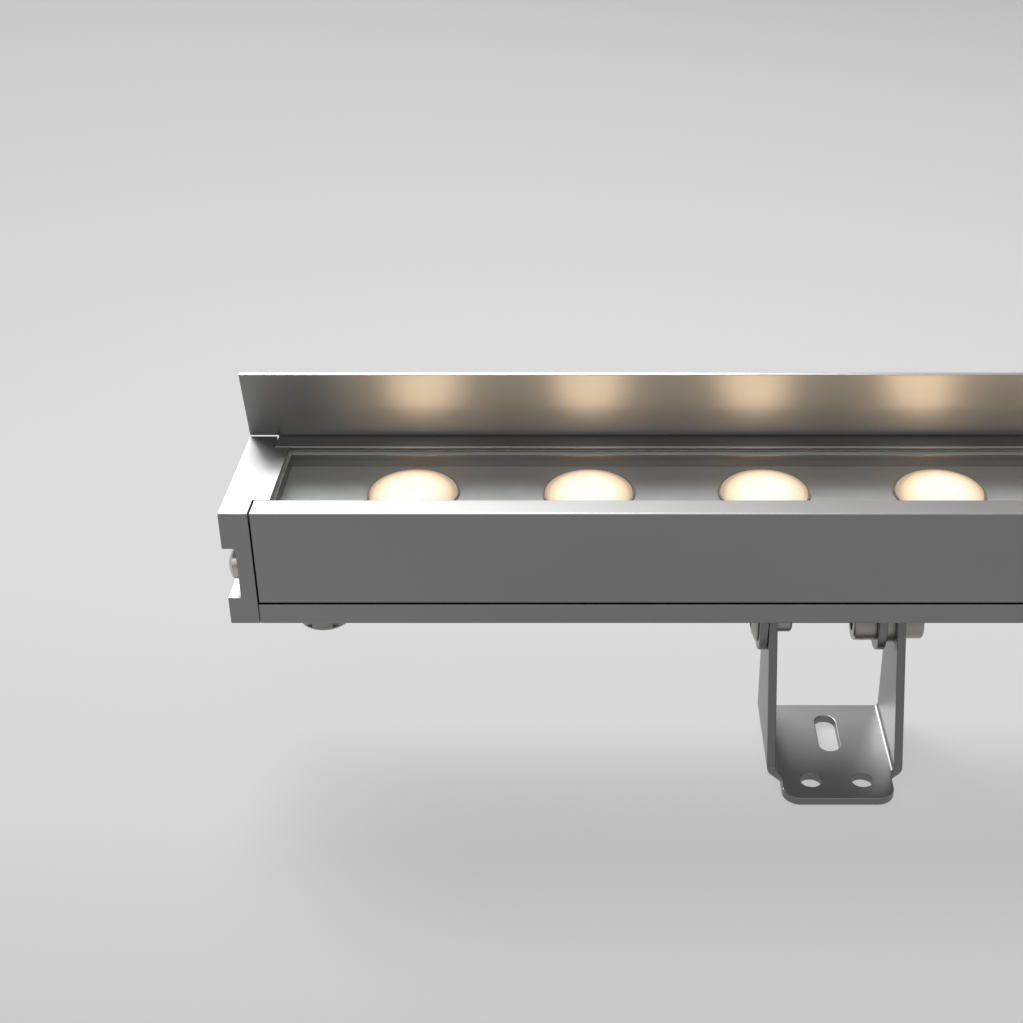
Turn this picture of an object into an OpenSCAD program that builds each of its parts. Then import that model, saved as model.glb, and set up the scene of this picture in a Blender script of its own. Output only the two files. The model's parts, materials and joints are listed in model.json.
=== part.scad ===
// Linear wall washer light with a glare visor, on two swivelling feet.
// X runs along the lamp with its middle at 0, Y from the front to the rear, and Z is up from the
// undersides of the two feet. The origin is in the middle of the ground that the lamp covers.

/* [Lenses] */
// Number of lenses in the row
lens_count = 12; // [10:1:12]
// Distance between neighbouring lenses
lens_pitch = 42; // [38:0.5:46]
// Distance from each end of the lamp to its first lens
end_to_lens = 42.35; // [38:0.05:50]
// Distance of a lens's edge from the edge of the housing's opening
lens_side = 2.95; // [2.5:0.05:4]
// Height of a lens's dome over its holder
dome_h = 2.3; // [1.5:0.1:2.5]
// Thickness of a lens's rim, which sits in its holder
lens_rim_t = 1; // [0.8:0.1:1.4]
// Radius of a lens where it faces its light chip
lens_foot_r = 4.6; // [3.5:0.1:6]
// Wall of the holder ring round a lens
holder_wall = 0.4; // [0.3:0.05:0.8]
// Width of the seat inside a holder that carries the lens rim
holder_seat_w = 1.8; // [1.2:0.1:2.5]
// Height of a holder over the chamber floor
holder_rise = 0.5; // [0.3:0.1:0.7]
// Height of a holder over the light board
holder_h = 4.4; // [4.2:0.1:6]

/* [Housing] */
// Depth of the housing, front to rear
body_d = 40; // [39:0.5:46]
// Height of the housing
body_h = 29.7; // [29:0.1:34]
// Radius of the long outer corners
corner_r = 0.5; // [0.3:0.1:0.8]
// Thickness of the covers' outer walls
wall_t = 1.8; // [1.4:0.1:1.8]
// Thickness of the lips that hold the glass down
lip_t = 0.6; // [0.5:0.1:1]
// Reach of the front cover's lip
front_lip = 6.55; // [6.2:0.05:8]
// Reach of the rear cover's lip
rear_lip = 6.1; // [6:0.05:8]
// Height of the base profile's side strips
strip_h = 5.3; // [4.8:0.1:7]
// Open joint between the strips and the covers
joint_gap = 0.4; // [0.3:0.05:0.6]
// Thickness of the base slab
slab_t = 3; // [2.5:0.1:3.6]
// Thickness of the two webs that carry the glass
web_t = 2.4; // [2:0.1:2.6]
// Width of the step on each web that carries the chamber floor
floor_seat_w = 1; // [0.7:0.1:1.5]
// Thickness of the shelf that carries the light board
shelf_t = 2.5; // [2:0.1:3]

/* [Glass and chamber] */
// Thickness of the glass
glass_t = 3; // [2.5:0.1:3.2]
// Width of the glass edge that lies on each web
glass_bite = 2.1; // [1.7:0.1:2.2]
// Thickness of the seal between the glass and the lips
seal_t = 0.5; // [0.4:0.1:0.8]
// Distance of the seal behind the edge of the lips
seal_recess = 0.6; // [0.4:0.1:0.8]
// Depth of the chamber under the glass
chamber_h = 3.1; // [2.9:0.1:3.5]
// Thickness of the chamber floor
floor_t = 1.2; // [1:0.1:1.5]

/* [End caps] */
// Thickness of an end cap
cap_t = 6.8; // [6:0.1:8]
// Reach of an end cap's lip over the glass
cap_lip = 4.05; // [3.5:0.05:5]
// Height of the lower face of an end cap's channel over the underside
channel_z = 7.2; // [6.5:0.1:9]
// Depth of the channel's upper face under the top
channel_drop = 9.3; // [8.5:0.1:12]
// Depth of the channel
channel_d = 3.05; // [3.05:0.05:3.5]
// Distance of the cap screws from the front and rear faces
screw_inset = 5; // [5:0.1:5.5]
// Thickness of the gasket behind an end cap
gasket_t = 1.05; // [0.9:0.05:1.5]

/* [Visor] */
// Thickness of the visor sheet
visor_t = 1; // [0.8:0.1:1.5]
// Length of the leaning blade
blade_h = 19; // [12:0.5:30]
// Lean of the blade towards the front, in degrees
blade_lean = 15; // [0:1:25]
// Height of the visor's flange on the rear cover
flange_h = 13; // [10:0.5:16]
// Number of screws in the flange
visor_screw_count = 6; // [4:1:8]

/* [Feet] */
// Distance from each end of the lamp to the middle of its foot
end_to_foot = 145.55; // [120:0.05:150]
// Thickness of the foot and lug sheet
sheet_t = 2.15; // [1.5:0.05:2.2]
// Clear width between a foot's two legs
leg_gap = 29.5; // [29:0.1:36]
// Radius of a leg's round top
leg_r = 7.8; // [6.5:0.1:7.8]
// Lean of a leg's front edge, in degrees
leg_slant = 20.6; // [12:0.1:21]
// Height of the swivel axis over the foot plate
axis_rise = 31.65; // [31:0.05:38]
// Depth of the swivel axis under the housing
axis_drop = 12.1; // [12:0.1:16]
// Distance of the swivel axis behind the middle of the housing
axis_back = 0.5; // [0:0.1:1]
// Distance from the swivel axis to the front edge of the foot's tab
tab_reach = 30.9; // [29:0.1:36]
// Width of the tab
tab_w = 27.5; // [24:0.1:28]
// Radius of the tab's corners
tab_r = 4.5; // [3:0.1:5.5]
// Radius where the tab meets the legs
neck_r = 3; // [2:0.1:3.5]
// Outer radius of the bends in the sheet
bend_r = 3; // [2.3:0.1:3]

/* [Foot holes] */
// Diameter of the two round holes in the tab
hole_d = 5.3; // [4.5:0.1:6.5]
// Distance between the two round holes
hole_pitch = 12.7; // [10:0.1:14]
// Distance of the round holes from the tab's front edge
hole_inset = 7.15; // [5:0.05:8]
// Width of the slot
slot_w = 5.3; // [4.5:0.1:6.5]
// Length of the slot, with its round ends
slot_l = 15; // [12:0.5:18]
// Distance of the slot from the rear edge of the plate
slot_inset = 4.85; // [3:0.05:5]

/* [Swivel] */
// Radius of the swivel screws
pin_r = 2.9; // [2.5:0.1:3.5]
// Radius of the lug ears
ear_r = 7.4; // [7.2:0.1:8.5]
// Radius of the button screw's head
button_r = 5.25; // [4.75:0.05:6]
// Height of the button screw's head
button_h = 1.85; // [1.6:0.05:3]
// Length of the button screw that shows inside the leg
button_tail = 4.2; // [2:0.1:4.6]
// Radius of the cap screw's head
head_r = 5; // [4.5:0.1:5.5]
// Height of the cap screw's head
head_h = 5.7; // [5:0.1:6]
// Size of the cap screw's hexagon socket, across its flats
socket_af = 5; // [4:0.5:5]
// Radius of the spacer washer
washer_r = 5.5; // [4.5:0.1:6]
// Thickness of the spacer washer
washer_t = 2.25; // [1.5:0.05:2.5]
// Radius of the press nut
nut_r = 4.65; // [4.5:0.05:5.5]
// Height of the press nut
nut_h = 5.15; // [4:0.05:6]

/* [Cable gland] */
// Distance from the left end of the lamp to the gland
end_to_gland = 18.6; // [16:0.1:22]
// Height of the gland under the housing
gland_h = 11.1; // [10:0.1:14]
// Size of the gland body's hexagon, across its flats
gland_af = 14; // [13:0.5:15]
// Height of the gland body's hexagon
gland_body_h = 4; // [3:0.1:5]
// Radius of the gland nut
gland_nut_r = 6.4; // [6:0.1:6.6]
// Radius of the gland's thread
gland_thread_r = 5; // [4.5:0.1:5.2]
// Radius of the cable hole through the gland's seal
cable_r = 3; // [2:0.1:3]
// Thickness of the lock nut inside the housing
lock_nut_t = 3; // [2.5:0.1:4]

/* [Hidden] */
$fn = 48;
// Cuts run this far past what they cut
over = 1;
// Clearance between pieces that are slid or laid together
fit = 0.15;
// Clearance round a screw's thread, and between pieces that turn on each other
thread_fit = 0.02;
turn_fit = 0.05;
// Gap between the end of the base profile and an end cap's inner face
end_gap = 0.15;

// Places along the lamp
length = 2 * end_to_lens + (lens_count - 1) * lens_pitch;
base_end = length / 2 - cap_t - end_gap;
cover_end = length / 2 - cap_t - joint_gap;
foot_x = length / 2 - end_to_foot;
gland_x = end_to_gland - length / 2;

// Places across the housing, from its middle
front_y = -body_d / 2;
rear_y = body_d / 2;
mouth_front = front_y + front_lip;
mouth_rear = rear_y - rear_lip;
screw_y = body_d / 2 - screw_inset;

// Heights over the underside of the housing, from the top down
glass_top = body_h - lip_t - seal_t;
ledge_z = glass_top - glass_t;
floor_z = ledge_z - chamber_h;
holder_top = floor_z + holder_rise;
board_t = 1.6;
board_top = holder_top - holder_h;
shelf_top = board_top - board_t;
shelf_z = shelf_top - shelf_t;
channel_top = body_h - channel_drop;
screw_z = (channel_z + channel_top) / 2;

// Tongue that hooks a cover behind its strip
tongue_t = 1.1;
tongue_depth = 2;

// Screws in the end caps, and the ports that they go into
cap_screw_r = 2;
cap_head_r = 4;
cap_head_h = 2.95;
cap_head_side = 1.5;
cap_screw_depth = 12;
cap_socket_af = 2.5;
cap_socket_d = 1.5;
port_r = 3;

// Gasket frame behind an end cap
gasket_side = 1.6;
gasket_low = 0.8;
gasket_w = 2.5;
gasket_top = floor_z - floor_t - fit;

// Light board with its chips, and the holders and lenses that stand on it
board_side_gap = 0.1;
board_w = 2 * (screw_y - port_r - board_side_gap);
board_end_gap = 4;
lens_r = min(-mouth_front, mouth_rear) - lens_side;
chip_w = 3.5;
chip_t = 0.5;
chip_gap = 0.2;
holder_r = lens_r + fit + holder_wall;
rim_recess = 0.2;
lens_rim_top = holder_top - rim_recess;
lens_rim_z = lens_rim_top - lens_rim_t;
holder_seat_r = lens_r + fit - holder_seat_w;
dome_steps = 14;
dome_power = 2.4;

// Terminal block between the gland and the driver
gland_to_terminal = 26;
terminal_x = gland_x + gland_to_terminal;
terminal_gap = 2.5;
terminal = [12, 15, shelf_z - slab_t - terminal_gap];
terminal_ways = 3;
terminal_hole_r = 1.3;

// Driver board and the parts on it
terminal_to_driver = 61.75;
driver_l = 120;
driver_x = terminal_x + terminal.x + terminal_to_driver + driver_l / 2;
driver_side_gap = 1.5;
driver_w = 2 * (screw_y - port_r - driver_side_gap);
driver_t = 1.6;
driver_lift = 1.5;
driver_top = slab_t + driver_lift + driver_t;
driver_pad_r = 2.2;
parts_gap = 0.8;
parts_h = shelf_z - driver_top - parts_gap;
transformer_side_gap = 2.5;
transformer = [20, driver_w - 2 * transformer_side_gap, parts_h];
core_wall = 3;
capacitor_l = 14;
capacitor_gap = 0.7;
coil_r = 4.5;
coil_bore_r = 1.6;
coil_pitch = 11;
driver_edge = 6;

// Inner leads, which run from the terminal block to the driver and up to the light board
lead_r = 0.8;
lead_gap = 5;
lead_hole_r = 1.2;
lead_tail = 1;

// Share of a small screw head's height that is its straight side
head_side_share = 0.25;

// Screws that hold the visor, with their heads on the flange
visor_screw_r = 1.5;
visor_head_r = 2.85;
visor_head_h = 1.65;
visor_socket_af = 2;
visor_screw_inset = 22;
visor_screw_drop = 7;

// Screws that hold the lugs
lug_screw_r = 2.5;
lug_head_r = 4.75;
lug_head_h = 2.75;
lug_socket_af = 3;
lug_screw_pitch = 15;

// Gland details
gland_bore_r = 4;
gland_nut_edge = 0.9;
gland_grip_count = 6;
gland_grip_r = 0.9;
gland_thread_l = 2.5;
grommet_h = 5;
grommet_recess = 0.9;
lock_nut_af = 14;
o_ring_r = 6.1;
o_ring_t = 0.8;

// Swivel details
ear_inner_gap = turn_fit;
ear_left = -leg_gap / 2 - sheet_t - ear_inner_gap;
ear_right = leg_gap / 2 - turn_fit - washer_t - ear_inner_gap;
// A leg's slanted edge runs this far inside its round top, so that it crosses it
edge_bite = 0.05;
// Share of a neck's radius that its arc goes before it meets the plate
neck_share = 0.8;
edge_r = leg_r - edge_bite;
socket_d = 3;
button_af = 4;
nut_edge = 0.4;
head_edge = 0.5;
tail_edge = 0.5;

// The housing's middle lies so far behind the origin that the whole lamp is centred on it
visor_head_side = head_side_share * visor_head_h;
visor_head_top = domed_top(visor_head_r, visor_head_h, visor_head_side, visor_socket_af);
rear_reach = body_d / 2 + visor_t + visor_head_top;
mid_y = (tab_reach - axis_back - rear_reach) / 2;
axis_z = sheet_t + axis_rise;
base_z = axis_z + axis_drop;

// Frames

// Puts children in the housing's frame: its middle, at its underside
module in_housing() {
    translate([0, mid_y, base_z]) children();
}

// Puts children at a foot's swivel axis, half way between its legs: side is -1 left, 1 right
module at_foot(side) {
    translate([side * foot_x, mid_y + axis_back, axis_z]) children();
}

// Puts children at an end of the housing, with x from 0 at its outer face inwards
module at_end(side) {
    in_housing()
        scale([-side, 1, 1])
            translate([-length / 2, 0, 0]) children();
}

// Puts children at lens i, on the light board
module at_lens(i) {
    in_housing()
        translate([(i - (lens_count + 1) / 2) * lens_pitch, 0, 0]) children();
}

// Extrudes an outline, drawn in Y and Z, along X from x0 to x1
module along_x(x0, x1) {
    translate([x0, 0, 0])
        rotate([90, 0, 90])
            linear_extrude(x1 - x0) children();
}

// Turns children so that their Z points along +X
module facing_x() {
    rotate([0, 90, 0]) children();
}

// Shapes

// A rectangle between two corners
module rect(lo, hi) {
    translate(lo) square(hi - lo);
}

// The same with round corners
module soft_rect(lo, hi, r) {
    rect([lo.x + r, lo.y], [hi.x - r, hi.y]);
    rect([lo.x, lo.y + r], [hi.x, hi.y - r]);
    for (x = [lo.x + r, hi.x - r], y = [lo.y + r, hi.y - r])
        translate([x, y]) circle(r);
}

// A box between two corners
module block(lo, hi) {
    translate(lo) cube(hi - lo);
}

module hex_prism(af, h) {
    cylinder(r = af / sqrt(3), h = h, $fn = 6);
}

// A ring with a square section
module ring(outer, inner, h) {
    difference() {
        cylinder(r = outer, h = h);
        translate([0, 0, -over]) cylinder(r = inner, h = h + 2 * over);
    }
}

// A round bar whose far end has a chamfer
module chamfered_bar(r, h, edge) {
    cylinder(r = r, h = h - edge);
    translate([0, 0, h - edge]) cylinder(r1 = r, r2 = r - edge, h = edge);
}

// Radius of the ball whose cap has this radius and height
function ball_radius(cap_r, cap_h) = (cap_r * cap_r + cap_h * cap_h) / (2 * cap_h);

// Highest point that the socket leaves on a domed head
function domed_top(head_radius, height, side, af) =
    let (ball_r = ball_radius(head_radius, height - side))
    height - ball_r + sqrt(ball_r * ball_r - af * af / 4);

// A screw along Z: its head stands on z = 0, with a domed top over a straight side, and its
// shank goes down by shank_l
module domed_screw(shank_r, shank_l, head_radius, height, side, af, socket_depth) {
    ball_r = ball_radius(head_radius, height - side);
    translate([0, 0, -shank_l]) cylinder(r = shank_r, h = shank_l + side / 2);
    difference() {
        union() {
            cylinder(r = head_radius, h = side);
            intersection() {
                translate([0, 0, height - ball_r]) sphere(ball_r);
                translate([0, 0, side / 2]) cylinder(r = head_radius, h = height);
            }
        }
        translate([0, 0, height - socket_depth]) hex_prism(af, socket_depth + over);
    }
}

// Housing

// Outline of one web, with its step and its screw port: mouth is the edge of the opening that it
// stands at, and inwards is 1 or -1, the way from there to the middle
module web_outline(mouth, inwards) {
    rect_between(mouth - inwards * web_t, mouth, slab_t / 2, ledge_z);
    rect_between(mouth - inwards * web_t, mouth + inwards * floor_seat_w, slab_t / 2, floor_z - floor_t);
    translate([-inwards * screw_y, screw_z]) circle(port_r);
}

// A rectangle between two places across the housing, in either order, and two heights
module rect_between(ya, yb, z0, z1) {
    rect([min(ya, yb), z0], [max(ya, yb), z1]);
}

module base_outline() {
    difference() {
        union() {
            soft_rect([front_y, 0], [rear_y, slab_t], corner_r);
            for (side = [-1, 1])
                rect_between(side * rear_y, side * (rear_y - wall_t), slab_t / 2, strip_h);
            web_outline(mouth_front, 1);
            web_outline(mouth_rear, -1);
            rect([mouth_front, shelf_z], [mouth_rear, shelf_top]);
        }
        for (y = [-screw_y, screw_y])
            translate([y, screw_z]) circle(cap_screw_r + thread_fit);
    }
}

module base_profile() {
    color("silver")
    in_housing()
    difference() {
        along_x(-base_end, base_end) base_outline();
        translate([gland_x, 0, -over])
            cylinder(r = gland_thread_r + thread_fit, h = slab_t + 2 * over);
        for (side = [-1, 1], i = [-1, 1])
            translate([lug_screw_x(side, i), axis_back, -over])
                cylinder(r = lug_screw_r + thread_fit, h = slab_t + 2 * over);
        for (i = [-1, 1])
            translate([lead_x(), i * lead_gap / 2, shelf_z - over])
                cylinder(r = lead_hole_r, h = shelf_t + 2 * over);
    }
}

// Outline of a cover for the front; lip is its reach over the glass
module cover_outline(lip) {
    low = strip_h + joint_gap;
    soft_rect([front_y, low], [front_y + wall_t, body_h], corner_r);
    rect([front_y + corner_r, low], [front_y + wall_t, low + wall_t]);
    rect([front_y + wall_t / 2, body_h - lip_t], [front_y + lip - corner_r / 2, body_h]);
    soft_rect([front_y + wall_t, body_h - lip_t], [front_y + lip, body_h], corner_r / 2);
    rect([front_y + wall_t / 2, low], [front_y + wall_t + fit + tongue_t, low + tongue_t]);
    rect([front_y + wall_t + fit, low - tongue_depth],
         [front_y + wall_t + fit + tongue_t, low + tongue_t]);
}

module front_cover() {
    color("gray")
    in_housing()
        along_x(-cover_end, cover_end) cover_outline(front_lip);
}

module rear_cover() {
    color("gray")
    in_housing()
    difference() {
        along_x(-cover_end, cover_end)
            mirror([1, 0]) cover_outline(rear_lip);
        at_visor_screws()
            translate([0, 0, -wall_t - over])
                cylinder(r = visor_screw_r + thread_fit, h = wall_t + 2 * over);
    }
}

// End caps

module end_cap(side) {
    color("lightgray")
    at_end(side)
    difference() {
        union() {
            along_x(0, cap_t) soft_rect([front_y, 0], [rear_y, body_h], corner_r);
            along_x(cap_t / 2, cap_t + cap_lip)
                rect([mouth_front + fit, body_h - lip_t], [mouth_rear - fit, body_h]);
            along_x(cap_t / 2, cap_t + cap_lip)
                rect([mouth_front + fit, floor_z - floor_t], [mouth_rear - fit, ledge_z]);
        }
        along_x(-over, channel_d)
            rect([front_y - over, channel_z], [rear_y + over, channel_top]);
        along_x(cap_t - gasket_t + end_gap, cap_t + over) gasket_outline(fit);
        for (y = [-screw_y, screw_y])
            translate([0, y, screw_z])
                facing_x() cylinder(r = cap_screw_r + fit, h = cap_t + over);
    }
}

// Outline of the gasket, grown by room on every side
module gasket_outline(room) {
    reach = body_d / 2 - gasket_side;
    difference() {
        rect([-reach - room, gasket_low - room], [reach + room, gasket_top + room]);
        rect([-gasket_window_y() + room, slab_t + fit + room],
             [gasket_window_y() - room, shelf_z - room]);
    }
}

// Half the width of the gasket's window, which clears the screw ports
function gasket_window_y() = screw_y - port_r - gasket_w / 2;

module end_gasket(side) {
    color("dimgray")
    at_end(side)
    difference() {
        along_x(cap_t - gasket_t + end_gap, cap_t + end_gap) gasket_outline(0);
        for (y = [-screw_y, screw_y])
            translate([0, y, screw_z])
                facing_x() cylinder(r = cap_screw_r + fit, h = cap_t + over);
    }
}

module end_cap_screws() {
    color("silver")
    for (side = [-1, 1], y = [-screw_y, screw_y])
        at_end(side)
            translate([channel_d, y, screw_z])
                rotate([0, -90, 0])
                    domed_screw(cap_screw_r, cap_t - channel_d + cap_screw_depth, cap_head_r, cap_head_h,
                                cap_head_side, cap_socket_af, cap_socket_d);
}

// Glass and light chamber

module glass() {
    color("lightcyan", 0.4)
    in_housing()
        block([fit - cover_end, mouth_front - glass_bite, ledge_z],
              [cover_end - fit, mouth_rear + glass_bite, glass_top]);
}

module glass_seal() {
    color("black")
    in_housing()
    difference() {
        block([fit - cover_end, mouth_front - glass_bite, glass_top],
              [cover_end - fit, mouth_rear + glass_bite, glass_top + seal_t]);
        block([cap_t + cap_lip - seal_recess - length / 2, mouth_front - seal_recess, glass_top - over],
              [length / 2 - cap_t - cap_lip + seal_recess, mouth_rear + seal_recess, body_h]);
    }
}

module chamber_floor() {
    color("darkgray")
    difference() {
        in_housing()
            block([cap_t + cap_lip + fit - length / 2, mouth_front + fit, floor_z - floor_t],
                  [length / 2 - cap_t - cap_lip - fit, mouth_rear - fit, floor_z]);
        for (i = [1 : lens_count])
            at_lens(i)
                translate([0, 0, floor_z - floor_t - over])
                    cylinder(r = holder_r + fit, h = floor_t + 2 * over);
    }
}

module lens_holder(i) {
    color("dimgray")
    at_lens(i)
        translate([0, 0, board_top]) {
            ring(holder_r, lens_r + fit, holder_top - board_top);
            ring(holder_r, holder_seat_r, lens_rim_z - board_top);
        }
}

// Half the section of a lens: a cone from the chip up to the rim, and a low dome over the rim
function lens_outline() = concat(
    [[0, board_top + chip_t + chip_gap],
     [lens_foot_r, board_top + chip_t + chip_gap],
     [holder_seat_r - fit, lens_rim_z],
     [lens_r, lens_rim_z]],
    [for (k = [0 : dome_steps - 1]) let (r = lens_r * (1 - pow(k / dome_steps, 2)))
        [r, lens_rim_top + dome_h * sqrt(1 - pow(r / lens_r, dome_power))]],
    [[0, lens_rim_top + dome_h]]
);

module lens(i) {
    color("moccasin", 0.9)
    at_lens(i)
        rotate_extrude() polygon(lens_outline());
}

// Light board and driver

// The board's ends stop short of the end caps' inner blocks
function board_end() = length / 2 - cap_t - cap_lip - board_end_gap;

module light_board() {
    color("white")
    in_housing()
    difference() {
        block([-board_end(), -board_w / 2, shelf_top], [board_end(), board_w / 2, board_top]);
        for (i = [-1, 1])
            translate([lead_x(), i * lead_gap / 2, shelf_top - over])
                cylinder(r = lead_hole_r, h = board_t + 2 * over);
    }
}

module light_chips() {
    color("gold")
    for (i = [1 : lens_count])
        at_lens(i)
            block([-chip_w / 2, -chip_w / 2, board_top], [chip_w / 2, chip_w / 2, board_top + chip_t]);
}

module driver_board() {
    color("darkgreen")
    in_housing()
        translate([driver_x, 0, slab_t]) {
            block([-driver_l / 2, -driver_w / 2, driver_lift],
                  [driver_l / 2, driver_w / 2, driver_lift + driver_t]);
            for (x = [-1, 1], y = [-1, 1])
                translate([x * (driver_l / 2 - driver_edge), y * (driver_w / 2 - driver_pad_r), 0])
                    cylinder(r = driver_pad_r, h = driver_lift + driver_t / 2);
        }
}

// Transformer, two capacitors that lie flat, and two ring coils, from left to right
module driver_parts() {
    color("olive")
    in_housing()
        translate([driver_x, 0, driver_top]) {
            driver_transformer();
            for (y = [-1, 1])
                translate([transformer.x, y * (parts_h + capacitor_gap) / 2, parts_h / 2])
                    facing_x() cylinder(r = parts_h / 2, h = capacitor_l);
            for (k = [1, 2])
                translate([-transformer.x / 2 - k * coil_pitch, 0, 0])
                    ring(coil_r, coil_bore_r, parts_h);
        }
}

module driver_transformer() {
    half = transformer / 2;
    core = half - [core_wall, core_wall, 0];
    block([-half.x, -half.y, 0], [half.x, half.y, half.z]);
    block([-core.x, -core.y, 0], [core.x, core.y, transformer.z]);
}

function terminal_way_y(k) = (k - (terminal_ways - 1) / 2) * terminal.y / terminal_ways;

module terminal_block() {
    color("ivory")
    in_housing()
    difference() {
        block([terminal_x, -terminal.y / 2, slab_t],
              [terminal_x + terminal.x, terminal.y / 2, slab_t + terminal.z]);
        for (k = [0 : terminal_ways - 1]) {
            translate([terminal_x - over, terminal_way_y(k), slab_t + terminal.z / 2])
                facing_x() cylinder(r = terminal_hole_r, h = terminal.x / 2);
            translate([terminal_x + terminal.x / 2, terminal_way_y(k), slab_t + terminal.z / 2])
                cylinder(r = terminal_hole_r, h = terminal.z);
        }
    }
}

// Where the leads rise to the light board: half way between the two lenses nearest the middle
function lead_x() = (lens_count % 2) * lens_pitch / 2;

// Two leads from the terminal block to the driver, and two from the driver up to the light board
module inner_leads() {
    color("red")
    in_housing()
    for (i = [-1, 1]) {
        translate([terminal_x + terminal.x, i * lead_gap / 2, driver_top + lead_r])
            facing_x()
                cylinder(r = lead_r, h = driver_x - driver_l / 2 + driver_edge - terminal_x - terminal.x);
        translate([driver_x + driver_l / 2 - driver_edge, i * lead_gap / 2, driver_top + lead_r])
            facing_x()
                cylinder(r = lead_r, h = lead_x() - driver_x - driver_l / 2 + driver_edge);
        translate([lead_x(), i * lead_gap / 2, driver_top + lead_r]) {
            sphere(lead_r);
            cylinder(r = lead_r, h = board_top + lead_tail - driver_top - lead_r);
        }
    }
}

// Visor

// Outline of the sheet where it has no flange: the blade, with the round outside of its bend
module blade_outline() {
    translate([rear_y + visor_t / 2, body_h + visor_t / 2])
        rotate(blade_lean) {
            circle(visor_t / 2);
            rect([-visor_t / 2, 0], [visor_t / 2, blade_h]);
        }
}

module visor() {
    color("gray")
    in_housing()
    difference() {
        union() {
            along_x(-length / 2, length / 2) blade_outline();
            along_x(-cover_end, cover_end)
                rect([rear_y, body_h - flange_h], [rear_y + visor_t, body_h + visor_t / 2]);
        }
        at_visor_screws()
            translate([0, 0, -over]) cylinder(r = visor_screw_r + fit, h = visor_t + 2 * over);
    }
}

// Puts children at each visor screw, on the rear face, with Z pointing to the rear
module at_visor_screws() {
    reach = length / 2 - visor_screw_inset;
    for (k = [0 : visor_screw_count - 1])
        translate([reach * (2 * k / (visor_screw_count - 1) - 1), rear_y, body_h - visor_screw_drop])
            rotate([-90, 0, 0]) children();
}

module visor_screws() {
    color("silver")
    in_housing()
        at_visor_screws()
            translate([0, 0, visor_t])
                domed_screw(visor_screw_r, visor_t + wall_t, visor_head_r, visor_head_h,
                            visor_head_side, visor_socket_af, visor_head_h / 2);
}

// Cable gland

module gland_body() {
    color("silver")
    in_housing()
        translate([gland_x, 0, 0])
        difference() {
            union() {
                translate([0, 0, -o_ring_t - gland_body_h]) hex_prism(gland_af, gland_body_h);
                translate([0, 0, -o_ring_t - gland_body_h / 2])
                    cylinder(r = gland_thread_r, h = o_ring_t + gland_body_h / 2 + slab_t + lock_nut_t);
                translate([0, 0, -o_ring_t - gland_body_h - gland_thread_l])
                    cylinder(r = gland_thread_r, h = gland_body_h / 2 + gland_thread_l);
            }
            translate([0, 0, -gland_h])
                cylinder(r = gland_bore_r, h = gland_h + slab_t + lock_nut_t + over);
        }
}

// Outline of the gland nut's outside, from its flat end up, for turning round Z
module gland_nut_outline(h) {
    rect([0, gland_nut_edge], [gland_nut_r, h]);
    rect([0, 0], [gland_nut_r - gland_nut_edge, h]);
    translate([gland_nut_r - gland_nut_edge, gland_nut_edge]) circle(gland_nut_edge);
}

module gland_nut() {
    h = gland_h - o_ring_t - gland_body_h;
    color("silver")
    in_housing()
        translate([gland_x, 0, -gland_h])
        difference() {
            rotate_extrude() gland_nut_outline(h);
            translate([0, 0, h - gland_thread_l - fit])
                cylinder(r = gland_thread_r + thread_fit, h = gland_thread_l + fit + over);
            translate([0, 0, -over]) cylinder(r = gland_bore_r, h = h + 2 * over);
            for (k = [0 : gland_grip_count - 1])
                rotate(k * 360 / gland_grip_count)
                    translate([gland_nut_r + gland_grip_r / 2, 0, gland_nut_edge])
                        cylinder(r = gland_grip_r, h = h);
        }
}

// The O-ring against the housing, and the grommet that closes round the cable
module gland_seals() {
    color("black")
    in_housing()
        translate([gland_x, 0, 0]) {
            translate([0, 0, -o_ring_t])
                ring(o_ring_r, gland_thread_r + thread_fit, o_ring_t);
            translate([0, 0, -gland_h + grommet_recess])
                ring(gland_bore_r - thread_fit, cable_r, grommet_h);
        }
}

module gland_lock_nut() {
    color("silver")
    in_housing()
        translate([gland_x, 0, slab_t])
        difference() {
            hex_prism(lock_nut_af, lock_nut_t);
            translate([0, 0, -over]) cylinder(r = gland_thread_r + thread_fit, h = lock_nut_t + 2 * over);
        }
}

// Lugs and feet

// Outline of a sheet bent twice into a U that opens upwards, in X and Z, with its plate's
// underside at 0
module bent_outline(x0, x1, height) {
    difference() {
        union() {
            rect([x0 + bend_r, 0], [x1 - bend_r, bend_r]);
            rect([x0, bend_r], [x1, height]);
            for (x = [x0 + bend_r, x1 - bend_r])
                translate([x, bend_r]) circle(bend_r);
        }
        soft_rect([x0 + sheet_t, sheet_t], [x1 - sheet_t, height + over], bend_r - sheet_t);
    }
}

// Extrudes an outline, drawn in X and Z, from y0 to y1
module along_y(y0, y1) {
    translate([0, y1, 0])
        rotate([90, 0, 0])
            linear_extrude(y1 - y0) children();
}

// Place of a lug screw along the housing: side is the foot's, i its place in the pair
function lug_screw_x(side, i) =
    side * foot_x + (ear_left - sheet_t + ear_right) / 2 + i * lug_screw_pitch / 2;

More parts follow.
